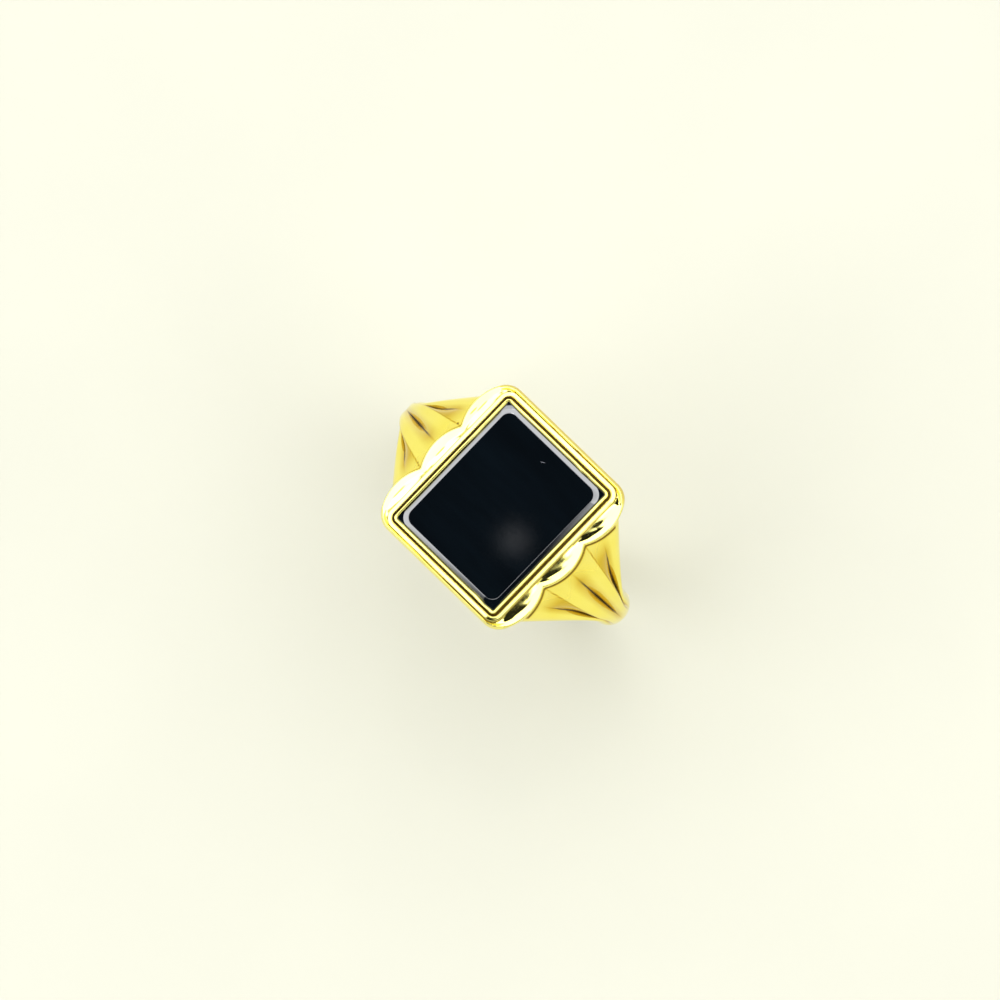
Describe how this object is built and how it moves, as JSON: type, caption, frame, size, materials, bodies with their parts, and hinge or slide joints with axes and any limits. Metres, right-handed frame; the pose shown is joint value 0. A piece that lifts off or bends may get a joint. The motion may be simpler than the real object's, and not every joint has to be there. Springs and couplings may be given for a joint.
{
  "type": "signet ring",
  "caption": "Gold signet ring: flat rectangular black onyx in a stepped, scalloped head on fluted shoulders and a slim D-section shank.",
  "frame": {"origin": "on the axis of the finger bore, half way along the head and the shank", "axes": "+Y along the finger, +Z from the finger up through the middle of the stone, +X across the finger towards one shoulder"},
  "size_m": [0.023, 0.0142, 0.0248],
  "materials": {
    "polished_gold": "high polish",
    "head_gold": "high polish",
    "gallery_gold": "softly polished",
    "gold_solder": "polished flush",
    "cement": "matt",
    "onyx": "mirror polish"
  },
  "bodies": {
    "root": {"shank": "polished_gold", "shoulder_left": "polished_gold", "shoulder_right": "polished_gold", "gallery": "gallery_gold", "scalloped_plate": "head_gold", "step_frame": "head_gold", "bezel_collet": "head_gold", "stone_bearer": "gallery_gold", "setting_cement": "cement", "onyx_stone": "onyx", "head_solder_seams": "gold_solder", "shank_solder_seams": "gold_solder"}
  },
  "joints": []
}
